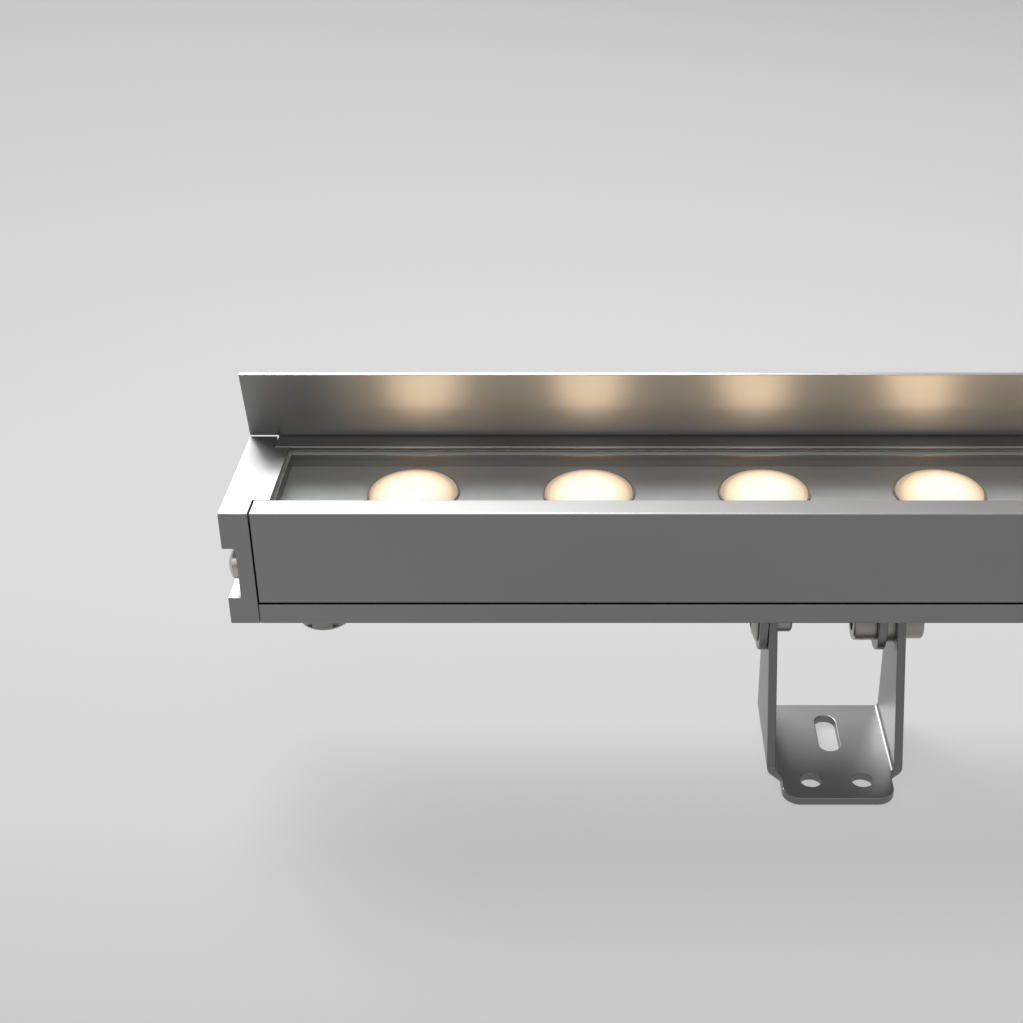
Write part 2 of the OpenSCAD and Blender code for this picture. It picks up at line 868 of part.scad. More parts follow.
// The lug is drawn at the swivel axis, and its plate lies against the housing
module lug(side) {
    color("gray")
    difference() {
        at_foot(side)
        difference() {
            intersection() {
                translate([0, 0, axis_drop])
                    mirror([0, 0, 1])
                        along_y(-ear_r, ear_r)
                            bent_outline(ear_left - sheet_t, ear_right, axis_drop + ear_r);
                along_x(ear_left - sheet_t - over, ear_right + over) {
                    circle(ear_r);
                    rect([-ear_r, 0], [ear_r, axis_drop]);
                }
            }
            translate([ear_left - sheet_t - over, 0, 0])
                facing_x() cylinder(r = pin_r + turn_fit, h = ear_right - ear_left + sheet_t + 2 * over);
        }
        for (i = [-1, 1])
            in_housing()
                translate([lug_screw_x(side, i), axis_back, -sheet_t - over])
                    cylinder(r = lug_screw_r + fit, h = sheet_t + 2 * over);
    }
}

module lug_screws() {
    color("silver")
    in_housing()
    for (side = [-1, 1], i = [-1, 1])
        translate([lug_screw_x(side, i), axis_back, -sheet_t])
            mirror([0, 0, 1])
                domed_screw(lug_screw_r, sheet_t + slab_t, lug_head_r, lug_head_h,
                            head_side_share * lug_head_h, lug_socket_af, lug_head_h / 2);
}

// Place of a leg's slanted front edge at this depth under the swivel axis
function leg_front(drop) = -edge_r * cos(leg_slant) - (drop + edge_r * sin(leg_slant)) * tan(leg_slant);

// Side view of a leg, at the swivel axis: a round top, an upright rear edge and a slanted front edge
module leg_outline() {
    circle(leg_r);
    polygon([
        [-edge_r * cos(leg_slant), edge_r * sin(leg_slant)],
        [leg_front(axis_rise), -axis_rise],
        [leg_front(axis_rise), -axis_z - over],
        [leg_r, -axis_z - over],
        [leg_r, 0]
    ]);
}

// Plan of the foot at the swivel axis: the plate, and the tab with its round corners and necks.
// A neck is an arc that meets the tab's side smoothly and crosses the plate's front edge
module foot_plan() {
    front = leg_front(axis_rise);
    half = leg_gap / 2 + sheet_t;
    neck_drop = neck_share * neck_r;
    neck_reach = neck_r - sqrt(neck_r * neck_r - neck_drop * neck_drop);
    rect([-half, front], [half, leg_r]);
    soft_rect([-tab_w / 2, -tab_reach], [tab_w / 2, front + tab_r], tab_r);
    for (side = [-1, 1])
        difference() {
            rect_between(side * (tab_w / 2 - tab_r), side * (tab_w / 2 + neck_reach),
                         front - neck_drop, front + sheet_t);
            translate([side * (tab_w / 2 + neck_r), front - neck_drop]) circle(neck_r);
        }
}

module foot(side) {
    half = leg_gap / 2 + sheet_t;
    color("gray")
    at_foot(side)
    difference() {
        intersection() {
            translate([0, 0, -axis_z])
                along_y(-tab_reach, leg_r) bent_outline(-half, half, axis_z + leg_r);
            union() {
                along_x(-half, half) leg_outline();
                translate([0, 0, -axis_z]) linear_extrude(sheet_t) foot_plan();
            }
        }
        translate([-half - over, 0, 0])
            facing_x() cylinder(r = pin_r + thread_fit, h = 2 * half + 2 * over);
        for (x = [-hole_pitch / 2, hole_pitch / 2])
            translate([x, hole_inset - tab_reach, -axis_z - over])
                cylinder(r = hole_d / 2, h = sheet_t + 2 * over);
        translate([0, leg_r - slot_inset - slot_l / 2, -axis_z - over]) slot_cutter();
    }
}

module slot_cutter() {
    run = slot_l - slot_w;
    translate([-slot_w / 2, -run / 2, 0]) cube([slot_w, run, sheet_t + 2 * over]);
    for (y = [-run / 2, run / 2])
        translate([0, y, 0]) cylinder(r = slot_w / 2, h = sheet_t + 2 * over);
}

// Swivel screws, drawn at the swivel axis

module button_screw(side) {
    grip = ear_left - sheet_t - turn_fit;
    tail = -leg_gap / 2 + button_tail;
    color("silver")
    at_foot(side) {
        translate([grip, 0, 0])
            rotate([0, -90, 0])
                domed_screw(pin_r, 0, button_r, button_h,
                            head_side_share * button_h, button_af, button_h / 2);
        translate([grip, 0, 0])
            facing_x() chamfered_bar(pin_r, tail - grip, tail_edge);
    }
}

module cap_screw(side) {
    grip = ear_right - sheet_t - turn_fit;
    color("silver")
    at_foot(side) {
        difference() {
            translate([grip, 0, 0])
                rotate([0, -90, 0]) chamfered_bar(head_r, head_h, head_edge);
            translate([grip - head_h - over, 0, 0])
                facing_x() hex_prism(socket_af, socket_d + over);
        }
        translate([grip - socket_d / 2, 0, 0])
            facing_x() cylinder(r = pin_r, h = leg_gap / 2 + sheet_t + nut_h / 2 - grip + socket_d / 2);
    }
}

module spacer(side) {
    color("silver")
    at_foot(side)
        translate([leg_gap / 2 - washer_t, 0, 0])
            facing_x() ring(washer_r, pin_r + thread_fit, washer_t);
}

module press_nut(side) {
    color("silver")
    at_foot(side)
        translate([leg_gap / 2 + sheet_t, 0, 0])
            facing_x()
            difference() {
                chamfered_bar(nut_r, nut_h, nut_edge);
                translate([0, 0, -over]) cylinder(r = pin_r + thread_fit, h = nut_h + 2 * over);
            }
}

base_profile();
front_cover();
rear_cover();
end_cap(-1);  // end_cap_left
end_cap(1);  // end_cap_right
end_gasket(-1);  // end_gasket_left
end_gasket(1);  // end_gasket_right
end_cap_screws();
glass();
glass_seal();
chamber_floor();
visor();
visor_screws();
light_board();
light_chips();
driver_board();
driver_parts();
terminal_block();
inner_leads();
gland_body();
gland_seals();
gland_nut();
gland_lock_nut();
lug(-1);  // lug_left
lug(1);  // lug_right
lug_screws();
foot(-1);  // foot_left
foot(1);  // foot_right
button_screw(-1);  // button_screw_left
button_screw(1);  // button_screw_right
cap_screw(-1);  // cap_screw_left
cap_screw(1);  // cap_screw_right
spacer(-1);  // spacer_left
spacer(1);  // spacer_right
press_nut(-1);  // press_nut_left
press_nut(1);  // press_nut_right
for (i = [1 : lens_count])
    lens(i);
for (i = [1 : lens_count])
    lens_holder(i);
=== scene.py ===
"""Linear wall washer light: finishes, softened edges, lenses, floor, lights and camera."""

import json
import math

import bmesh
import bpy
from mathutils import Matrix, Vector

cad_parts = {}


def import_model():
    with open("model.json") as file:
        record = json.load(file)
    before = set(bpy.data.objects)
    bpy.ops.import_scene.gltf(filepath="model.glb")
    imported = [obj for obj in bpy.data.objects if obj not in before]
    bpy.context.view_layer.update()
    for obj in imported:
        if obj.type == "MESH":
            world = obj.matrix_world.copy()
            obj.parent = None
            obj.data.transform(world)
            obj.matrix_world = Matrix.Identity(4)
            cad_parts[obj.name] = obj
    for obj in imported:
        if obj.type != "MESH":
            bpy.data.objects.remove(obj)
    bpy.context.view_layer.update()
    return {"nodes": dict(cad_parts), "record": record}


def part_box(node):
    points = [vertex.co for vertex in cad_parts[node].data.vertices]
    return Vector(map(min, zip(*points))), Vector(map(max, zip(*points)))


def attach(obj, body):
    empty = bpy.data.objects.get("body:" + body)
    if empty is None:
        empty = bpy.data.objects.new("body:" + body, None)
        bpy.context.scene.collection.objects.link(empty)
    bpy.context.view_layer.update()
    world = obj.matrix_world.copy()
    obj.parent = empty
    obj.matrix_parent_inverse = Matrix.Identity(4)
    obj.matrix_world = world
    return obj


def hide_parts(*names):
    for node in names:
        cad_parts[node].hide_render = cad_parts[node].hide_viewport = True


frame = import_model()

MM = 0.001
SIDES = ("left", "right")
LENSES = range(1, 13)


# Shader tools


class Value:
    """A socket of a material. An expression on values adds the Math nodes that work it out."""

    def __init__(self, finish, socket):
        self.finish = finish
        self.socket = socket

    def __add__(self, other):
        return self.finish.maths("ADD", self, other)

    __radd__ = __add__

    def __sub__(self, other):
        return self.finish.maths("SUBTRACT", self, other)

    def __rsub__(self, other):
        return self.finish.maths("SUBTRACT", other, self)

    def __mul__(self, other):
        return self.finish.maths("MULTIPLY", self, other)

    __rmul__ = __mul__

    def __truediv__(self, other):
        return self.finish.maths("DIVIDE", self, other)

    def __rtruediv__(self, other):
        return self.finish.maths("DIVIDE", other, self)

    def __pow__(self, other):
        return self.finish.maths("POWER", self, other)

    def __rpow__(self, other):
        return self.finish.maths("POWER", other, self)


class Finish:
    """A node tree with one method that adds any node. Holds a material or the world."""

    def __init__(self, owner):
        owner.use_nodes = True
        self.tree = owner.node_tree
        self.tree.nodes.clear()

    def add(self, kind, settings=None, inputs=None, output=0):
        node = self.tree.nodes.new(kind)
        for name, value in (settings or {}).items():
            if name == "stops":
                for place, colour in value[2:]:
                    node.color_ramp.elements.new(place)
                for element, (place, colour) in zip(node.color_ramp.elements, sorted(value)):
                    element.position = place
                    element.color = colour
            else:
                setattr(node, name, value)
        for name, value in (inputs or {}).items():
            if isinstance(value, Value):
                self.tree.links.new(value.socket, node.inputs[name])
            else:
                node.inputs[name].default_value = value
        return Value(self, node.outputs[output]) if node.outputs else node

    def maths(self, operation, a, b):
        return self.add("ShaderNodeMath", {"operation": operation}, {0: a, 1: b})

    def place(self):
        return self.add("ShaderNodeTexCoord", output="Object")

    def part(self, vector, axis):
        return self.add("ShaderNodeSeparateXYZ", inputs={0: vector}, output=axis)

    def noise(self, scale, detail=2.0, roughness=0.5):
        inputs = {
            "Vector": self.place(),
            "Scale": scale,
            "Detail": detail,
            "Roughness": roughness,
        }
        return self.add("ShaderNodeTexNoise", inputs=inputs)

    def between(self, factor, low, high):
        """A value that runs from low to high as factor goes from 0 to 1."""
        return factor * (high - low) + low

    def mixed(self, factor, first, second):
        """A colour between two colours."""
        inputs = {0: factor, 6: first, 7: second}
        return self.add("ShaderNodeMix", {"data_type": "RGBA"}, inputs, output=2)

    def bump(self, height, distance, strength=0.5):
        inputs = {"Height": height, "Distance": distance, "Strength": strength}
        return self.add("ShaderNodeBump", inputs=inputs)

    def ray(self, kind):
        """1 where a ray of this kind arrives, otherwise 0."""
        return self.add("ShaderNodeLightPath", output=f"Is {kind} Ray")

    def seen(self):
        """1 for what the camera, a glossy surface or glass sees, 0 for light."""
        rays = self.ray("Camera") + self.ray("Glossy") + self.ray("Transmission")
        return self.maths("MINIMUM", rays, 1.0)


def grey(level, warmth=0.0):
    """A colour of this level. Warmth above 0 makes it redder, below 0 bluer."""
    return (level * (1 + warmth), level, level * (1 - warmth), 1)


def material(name, build, **sockets):
    """A material with one Principled shader. build adds what changes over the surface."""
    made = bpy.data.materials.new(name)
    finish = Finish(made)
    inputs = {key.replace("_", " "): value for key, value in sockets.items()}
    inputs.update(build(finish))
    shader = finish.add("ShaderNodeBsdfPrincipled", inputs=inputs)
    finish.add("ShaderNodeOutputMaterial", inputs={"Surface": shader})
    return made


# Finishes


def blasted(level, rough):
    """Fine bead-blasted metal: a grain in the surface, and soft clouds in its level and gloss."""
    clouds_per_m = 22.0
    grain_size = 0.35 * MM
    grain_depth = 0.012 * MM
    level_spread = 0.06
    gloss_spread = 0.03

    def build(finish):
        cloud = finish.noise(clouds_per_m, detail=3.0)
        grain = finish.noise(1 / grain_size, roughness=0.6)
        dark, pale = grey(level * (1 - level_spread)), grey(level * (1 + level_spread))
        gloss = finish.between(cloud, rough - gloss_spread, rough + gloss_spread)
        return {
            "Base Color": finish.mixed(cloud, dark, pale),
            "Roughness": gloss + (grain - 0.5) * (2 * gloss_spread),
            "Normal": finish.bump(grain, grain_depth),
        }

    return build


def turned(level, rough):
    """Turned steel: fine marks, a slightly uneven gloss and a warm tint."""
    clouds_per_m = 160.0
    marks_per_m = 2600.0
    mark_depth = 0.01 * MM
    level_spread = 0.1
    gloss_spread = 0.06
    warmth = 0.02

    def build(finish):
        cloud = finish.noise(clouds_per_m)
        marks = finish.noise(marks_per_m, detail=3.0, roughness=0.7)
        dark = grey(level * (1 - level_spread), warmth)
        pale = grey(level * (1 + level_spread), warmth)
        return {
            "Base Color": finish.mixed(cloud, dark, pale),
            "Roughness": finish.between(marks, rough - gloss_spread, rough + gloss_spread),
            "Normal": finish.bump(marks, mark_depth, strength=0.4),
        }

    return build


def matte(colour, rough, spread=0.15, spots_per_m=300.0, relief=0.02 * MM):
    """Plastic, rubber, board or ground glass: mottled colour and gloss over a fine bump."""
    gloss_spread = 0.05

    def build(finish):
        spots = finish.noise(spots_per_m, detail=3.0)
        dark = tuple(c * (1 - spread) for c in colour) + (1,)
        pale = tuple(min(1, c * (1 + spread)) for c in colour) + (1,)
        return {
            "Base Color": finish.mixed(spots, dark, pale),
            "Roughness": finish.between(spots, rough - gloss_spread, rough + gloss_spread),
            "Normal": finish.bump(spots, relief),
        }

    return build


def glowing_lens(finish):
    """Frosted lens lit from below: white towards the front, amber towards the rim."""
    glow_forward = 3.0 * MM
    glow_reach = 12.5 * MM
    glow_narrowing = 1.1
    haze_per_m = 900.0
    place = finish.place()
    x = finish.part(place, 0) * glow_narrowing
    y = finish.part(place, 1) + glow_forward
    reach = (x * x + y * y) ** 0.5 / glow_reach
    stops = [
        (0.0, (1.0, 1.0, 0.98, 1)),
        (0.42, (1.0, 1.0, 0.95, 1)),
        (0.54, (1.0, 1.0, 0.84, 1)),
        (0.68, (1.0, 0.94, 0.66, 1)),
        (0.80, (1.0, 0.73, 0.47, 1)),
        (0.885, (0.60, 0.44, 0.31, 1)),
        (1.0, (0.46, 0.34, 0.26, 1)),
    ]
    glow = finish.add("ShaderNodeValToRGB", {"stops": stops}, {0: reach})
    haze = finish.noise(haze_per_m)
    return {
        "Emission Color": glow,
        "Base Color": finish.mixed(haze, (0.02, 0.018, 0.015, 1), (0.03, 0.026, 0.022, 1)),
        "Roughness": finish.between(haze, 0.35, 0.45),
    }


def clear_glass():
    """Flat clear glass. Light for other surfaces goes straight through it."""
    smears_per_m = 30.0
    smear_rough = 0.012
    made = bpy.data.materials.new("clear_glass")
    finish = Finish(made)
    smears = finish.noise(smears_per_m, detail=3.0)
    glass = finish.add("ShaderNodeBsdfPrincipled", inputs={
        "Base Color": (0.97, 0.985, 0.98, 1),
        "Transmission Weight": 1.0,
        "IOR": 1.5,
        "Roughness": finish.between(smears, 0.0, smear_rough),
    })
    clear = finish.add("ShaderNodeBsdfTransparent", inputs={0: (0.94, 0.96, 0.955, 1)})
    pane = finish.add("ShaderNodeMixShader", inputs={0: finish.ray("Shadow"), 1: glass, 2: clear})
    finish.add("ShaderNodeOutputMaterial", inputs={"Surface": pane})
    return made


anodised = material("anodised_aluminium", blasted(0.255, 0.41), Metallic=1.0)
bracket_steel = material("bracket_steel", blasted(0.21, 0.34), Metallic=1.0)
screw_steel = material("screw_steel", turned(0.34, 0.34), Metallic=1.0)
screw_bright = material("screw_bright", turned(0.5, 0.24), Metallic=1.0)
gland_metal = material("gland_metal", turned(0.26, 0.4), Metallic=1.0)
# Painted light: the light that spreads in the chamber is painted as a faint glow (emission) of its
# floor and of the glass's etched band, though neither is a lamp.
chamber_metal = material(
    "chamber_aluminium", blasted(0.145, 0.6), Metallic=0.4,
    Emission_Strength=0.05, Emission_Color=(1.0, 0.97, 0.93, 1),
)
# Painted light: the etched band's faint emission stands in for lens light carried through the
# glass to its edge.
ground_edge = material(
    "ground_glass_edge", matte((0.24, 0.26, 0.25), 0.5, 0.08, 900.0, 0.01 * MM),
    Emission_Strength=0.06, Emission_Color=(1.0, 0.98, 0.93, 1),
)
glass_clear = clear_glass()
lens_glow = material(
    "lens_plastic", glowing_lens, Emission_Strength=1.05, Specular_IOR_Level=0.1
)
chip_yellow = material(
    "light_chip", matte((0.85, 0.6, 0.12), 0.4, 0.1),
    Emission_Strength=1.0, Emission_Color=(1, 0.8, 0.5, 1),
)
rubber = material("seal_rubber", matte((0.012, 0.012, 0.012), 0.6))
holder_plastic = material("holder_plastic", matte((0.1, 0.085, 0.07), 0.45))
white_board = material("white_board", matte((0.8, 0.8, 0.8), 0.4, 0.04))
circuit_green = material("circuit_board", matte((0.012, 0.12, 0.045), 0.35))
driver_dark = material("driver_plastic", matte((0.035, 0.033, 0.03), 0.5))
terminal_white = material("terminal_plastic", matte((0.6, 0.59, 0.54), 0.4, 0.05))
lead_red = material("lead_sleeve", matte((0.4, 0.02, 0.015), 0.4))


# Pieces

SAME_PLACE = 1e-6


def placed(name, data):
    """A new object in the scene."""
    made = bpy.data.objects.new(name, data)
    bpy.context.scene.collection.objects.link(made)
    return made


def mesh_of(shape, name):
    """The mesh of a finished shape."""
    mesh = bpy.data.meshes.new(name)
    shape.to_mesh(mesh)
    shape.free()
    return mesh


def everything(shape):
    return shape.verts[:] + shape.edges[:] + shape.faces[:]


def node_body(node):
    bodies = frame["record"]["behaviour"]["bodies"]
    return next(name for name, nodes in bodies.items() if node in nodes)


def stand_for(node, mesh, suffix, place=(0, 0, 0)):
    """Puts a new piece in the place of a CAD node, on the node's body."""
    piece = placed(node + suffix, mesh)
    piece.location = place
    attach(piece, node_body(node))
    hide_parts(node)
    return piece


def dress(node, look):
    """Gives a CAD node its finish."""
    piece = frame["nodes"][node]
    for slot in piece.material_slots:
        slot.material = look


def even_shading(piece):
    """Shades a smooth piece so that its flat faces look flat."""
    shading = piece.modifiers.new("shading", "WEIGHTED_NORMAL")
    shading.keep_sharp = False


def softened(node, width, look):
    """Stands for a CAD node: the same shape, with its edges broken by width."""
    same_way = math.radians(0.4)
    sharp = math.radians(30)
    body = bmesh.new()
    body.from_mesh(frame["nodes"][node].data)
    bmesh.ops.remove_doubles(body, verts=body.verts, dist=SAME_PLACE)
    bmesh.ops.dissolve_limit(body, angle_limit=same_way, verts=body.verts, edges=body.edges)
    mesh = mesh_of(body, node + "_soft")
    mesh.materials.append(look)
    mesh.shade_smooth()
    piece = stand_for(node, mesh, "_soft")
    edges = piece.modifiers.new("edges", "BEVEL")
    edges.width = width
    edges.segments = 2
    edges.limit_method = "ANGLE"
    edges.angle_limit = sharp
    edges.use_clamp_overlap = False
    edges.miter_outer = "MITER_ARC"
    even_shading(piece)


def glass_plate():
    """Stands for the glass: a plate with a small chamfer on its edges, and an etched band below,
    where the glass lies on its ledges."""
    gap = Vector((0, 0, 0.02 * MM))
    chamfer = 0.3 * MM
    band = Vector((3.7 * MM, 2.1 * MM))
    low, high = (Vector(corner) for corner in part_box("glass"))
    corners = (low + gap, high - gap)
    shape = bmesh.new()
    bmesh.ops.create_cube(shape, size=1.0)
    for point in shape.verts:
        point.co = [corners[point.co[k] > 0][k] for k in range(3)]
    bmesh.ops.bevel(shape, geom=shape.edges[:], offset=chamfer, segments=1, affect="EDGES")
    for k, way in enumerate((Vector((1, 0, 0)), Vector((0, 1, 0)))):
        for place in (low[k] + band[k], high[k] - band[k]):
            bmesh.ops.bisect_plane(
                shape, geom=everything(shape), plane_co=way * place, plane_no=way, dist=SAME_PLACE
            )
    bmesh.ops.recalc_face_normals(shape, faces=shape.faces)
    mesh = mesh_of(shape, "glass_plate")
    mesh.materials.append(glass_clear)
    mesh.materials.append(ground_edge)
    mesh.shade_flat()
    for face in mesh.polygons:
        inside = all(low[k] + band[k] < face.center[k] < high[k] - band[k] for k in (0, 1))
        below = face.normal.z < -0.99
        face.material_index = 1 if below and not inside else 0
    stand_for("glass", mesh, "_plate")


# Bent sheets, drawn in mm

SHEET_T = 2.15
BEND_R = 3.0  # outside of the bends
BEND_MID_R = BEND_R - SHEET_T / 2
BEND_RUN = BEND_MID_R * math.pi / 2
BEND_FACETS = 8
SHEET_EDGE_R = 0.25
HOLE_EDGE_R = 0.2
BORE_EDGE_R = 0.1
ARC_STEP = 4.0  # degrees
HOLE_STEP = 6.0
SAME_PLACE_MM = 1e-5


def arc(middle, radius, start, end, step=ARC_STEP):
    """Points on an arc from start to end, in degrees."""
    count = max(2, round(abs(end - start) / step))
    turns = [math.radians(start + (end - start) * k / count) for k in range(count + 1)]
    return [(middle[0] + radius * math.cos(t), middle[1] + radius * math.sin(t)) for t in turns]


def hole(middle, radius, edge):
    """A round hole, run clockwise."""
    return arc(middle, radius, 360, 0, HOLE_STEP)[:-1], edge


def hole_pair(reach, radius, edge):
    """Two round holes on the line across the sheet, each this far from its middle."""
    return [hole((x, 0.0), radius, edge) for x in (-reach, reach)]


def rounded_rim(shape, outline, edge):
    """Side of a flat sheet along a closed outline with the sheet on its left: rings of points from
    the sheet's outer face to its inner face, with rounded edges. Gives the first and last ring."""
    count = len(outline)
    inward = []
    for k in range(count):
        before, here, after = outline[k - 1], outline[k], outline[(k + 1) % count]
        sides = []
        for a, b in ((before, here), (here, after)):
            run = Vector((b[0] - a[0], b[1] - a[1])).normalized()
            sides.append(Vector((-run.y, run.x)))
        inward.append((sides[0] + sides[1]) / (1 + sides[0].dot(sides[1])))
    turns = [math.radians(turn) for turn in (0, 30, 60, 90)]
    levels = [(edge * (1 - math.sin(t)), edge * (1 - math.cos(t))) for t in turns]
    levels += [(inset, SHEET_T - depth) for inset, depth in reversed(levels)]
    rings = [
        [
            shape.verts.new((x + inset * way.x, y + inset * way.y, depth))
            for (x, y), way in zip(outline, inward)
        ]
        for inset, depth in levels
    ]
    for low, high in zip(rings, rings[1:]):
        for k in range(count):
            shape.faces.new((low[k - 1], low[k], high[k], high[k - 1]))
    return rings[0], rings[-1]


def bent(point, flat_half):
    """Place of a point of the flat sheet after both bends: the sheet turns up past flat_half."""
    along, y, depth = point
    over = abs(along) - flat_half
    side = math.copysign(1, along)
    if over <= 0:
        return Vector((along, y, depth))
    turn = min(over / BEND_MID_R, math.pi / 2)
    radius = BEND_R - depth
    rise = max(0.0, over - BEND_RUN)
    return Vector((
        side * (flat_half + radius * math.sin(turn)),
        y,
        BEND_R - radius * math.cos(turn) + rise,
    ))


def bent_sheet(node, half_outline, holes, half_width, place):
    """Stands for a foot or lug: a sheet with rounded edges and holes, bent twice into a U. The
    outline is drawn flat, its right half from the front middle to the rear middle."""
    flat_half = half_width - BEND_R
    outline = half_outline + [(-x, y) for x, y in reversed(half_outline)]
    shape = bmesh.new()
    rims = [rounded_rim(shape, outline, SHEET_EDGE_R)]
    rims += [rounded_rim(shape, rim, edge) for rim, edge in holes]
    for face in (0, 1):
        rings = [rim[face] for rim in rims]
        edges = [
            shape.edges.get((ring[k - 1], ring[k])) for ring in rings for k in range(len(ring))
        ]
        bmesh.ops.triangle_fill(shape, use_beauty=True, edges=edges)
    for side in (-1, 1):
        for k in range(BEND_FACETS + 1):
            cut = side * (flat_half + BEND_RUN * k / BEND_FACETS)
            bmesh.ops.bisect_plane(
                shape, geom=everything(shape), plane_co=(cut, 0, 0), plane_no=(1, 0, 0),
                dist=SAME_PLACE_MM,
            )
    bmesh.ops.recalc_face_normals(shape, faces=shape.faces)
    for point in shape.verts:
        point.co = place(bent(point.co, flat_half)) * MM
    bmesh.ops.recalc_face_normals(shape, faces=shape.faces)
    mesh = mesh_of(shape, node + "_sheet")
    mesh.materials.append(bracket_steel)
    mesh.shade_smooth()
    even_shading(stand_for(node, mesh, "_sheet"))


def foot_sheet(side):
    """Stands for a foot: a plate with a slot, a tab with two holes, and two slanted legs with a
    bore each."""
    leg_r = 7.8
    edge_bite = 0.05  # the slanted edge cuts into the leg's round end by a hair
    edge_r = leg_r - edge_bite
    slant = math.radians(20.6)
    bore_r = 2.92
    tab_half, tab_r = 13.75, 4.5
    neck_r, neck_drop = 3.0, 2.4
    hole_r, hole_reach, hole_inset = 2.65, 6.35, 7.15
    slot_r, slot_half, slot_inset = 2.65, 7.5, 4.85

    node = "foot_" + side
    low, high = (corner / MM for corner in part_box(node))
    half_width = (high.x - low.x) / 2
    flat_half = half_width - BEND_R
    axis_y = high.y - leg_r
    axis_z = high.z - leg_r
    axis_at = flat_half + BEND_RUN + axis_z - BEND_R
    cross = math.degrees(math.acos(edge_r / leg_r) + slant)
    lean_y = -edge_r * math.cos(slant)

    def leg_front(z):
        return lean_y - (axis_z - z + edge_r * math.sin(slant)) * math.tan(slant)

    front = leg_front(SHEET_T)
    tab_front = low.y - axis_y
    neck_turn = math.degrees(math.asin(neck_drop / neck_r))
    half_outline = arc((tab_half - tab_r, tab_front + tab_r), tab_r, -90, 0)
    half_outline += arc((tab_half + neck_r, front - neck_drop), neck_r, 180, 180 - neck_turn)
    half_outline += [
        (flat_half + BEND_MID_R * math.acos(1 - SHEET_T / BEND_R), front),
        (flat_half + BEND_RUN, leg_front(BEND_R)),
    ]
    half_outline += arc((axis_at, 0.0), leg_r, cross - 90, 90)
    slot_y = leg_r - slot_inset - slot_half
    slot_run = slot_half - slot_r
    slot = arc((0, slot_y + slot_run), slot_r, 180, 0, HOLE_STEP)
    slot += arc((0, slot_y - slot_run), slot_r, 0, -180, HOLE_STEP)
    hole_y = tab_front + hole_inset
    holes = [hole((x, hole_y), hole_r, HOLE_EDGE_R) for x in (-hole_reach, hole_reach)]
    holes += [(slot, HOLE_EDGE_R)]
    holes += hole_pair(axis_at, bore_r, BORE_EDGE_R)
    middle = Vector(((low.x + high.x) / 2, axis_y, low.z))
    bent_sheet(node, half_outline, holes, half_width, lambda point: middle + point)


def lug_sheet(side):
    """Stands for a lug: a web with two screw holes under the housing, and two round ears."""
    bore_r = 2.95
    screw_hole_r, screw_reach = 2.65, 7.5

    node = "lug_" + side
    low, high = (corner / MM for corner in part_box(node))
    half_width = (high.x - low.x) / 2
    ear_r = (high.y - low.y) / 2
    ear_at = half_width - BEND_R + BEND_RUN + high.z - low.z - ear_r - BEND_R
    half_outline = arc((ear_at, 0.0), ear_r, -90, 90)
    holes = hole_pair(ear_at, bore_r, BORE_EDGE_R)
    holes += hole_pair(screw_reach, screw_hole_r, BORE_EDGE_R)
    middle = Vector(((low.x + high.x) / 2, (low.y + high.y) / 2, high.z))
    bent_sheet(
        node, half_outline, holes, half_width,
        lambda point: middle + Vector((point.x, point.y, -point.z)),
    )


# Lenses, drawn in mm from the top of the dome

LENS_R = 10.5
LENS_DOME_H = 2.3
LENS_RIM_T = 1.0
LENS_FACETS = 96


def lens_profile():
    """Half the section of a lens from its foot to the top of its dome."""
    foot_r, foot_drop = 4.6, 2.9
    cone_r, cone_drop = 8.7, 0.05
    rim_edge = 0.08
    fullness = 2.4  # 2 is an ellipse, and a higher number is fuller
    dome_steps = 28
    rim_top = -LENS_DOME_H
    rim_z = rim_top - LENS_RIM_T
    points = [
        (0.0, rim_z - foot_drop),
        (foot_r, rim_z - foot_drop),
        (cone_r, rim_z - cone_drop),
        (LENS_R - rim_edge, rim_z),
        (LENS_R, rim_z + rim_edge),
    ]
    for step in range(dome_steps + 1):
        turn = math.radians(90 * step / dome_steps)
        radius = LENS_R * math.cos(turn) ** (2 / fullness)
        points.append((radius, rim_top + LENS_DOME_H * math.sin(turn)))
    return points


def turned_mesh(name, profile, count):
    """A closed mesh: the profile turned round Z. Its ends lie on the axis."""
    on_axis = 1e-4
    shape = bmesh.new()
    rings = []
    for radius, z in profile:
        turns = [0.0] if radius < on_axis else [math.tau * k / count for k in range(count)]
        reach = 0.0 if radius < on_axis else radius
        rings.append([
            shape.verts.new((reach * MM * math.cos(t), reach * MM * math.sin(t), z * MM))
            for t in turns
        ])
    for low, high in zip(rings, rings[1:]):
        for k in range(count):
            corners = [ring[j % len(ring)] for ring, j in
                       ((low, k), (low, k + 1), (high, k + 1), (high, k))]
            shape.faces.new(list(dict.fromkeys(corners)))
    bmesh.ops.recalc_face_normals(shape, faces=shape.faces)
    return mesh_of(shape, name)


def lenses():
    """Stands for the lenses: one domed shape, set at each lens's place."""
    mesh = turned_mesh("lens_shape", lens_profile(), LENS_FACETS)
    mesh.materials.append(lens_glow)
    mesh.shade_smooth()
    for i in LENSES:
        low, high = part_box(f"lens_{i}")
        place = ((low[0] + high[0]) / 2, (low[1] + high[1]) / 2, high[2])
        stand_for(f"lens_{i}", mesh, "_glowing", place)


HOUSING_EDGE = 0.14 * MM
SCREW_EDGE = 0.12 * MM

for node in ("base_profile", "front_cover", "rear_cover", "visor"):
    softened(node, HOUSING_EDGE, anodised)
for side in SIDES:
    softened("end_cap_" + side, HOUSING_EDGE, anodised)
    foot_sheet(side)
    lug_sheet(side)
    for node in ("cap_screw_", "button_screw_", "spacer_", "press_nut_"):
        softened(node + side, SCREW_EDGE, screw_steel)
glass_plate()
lenses()

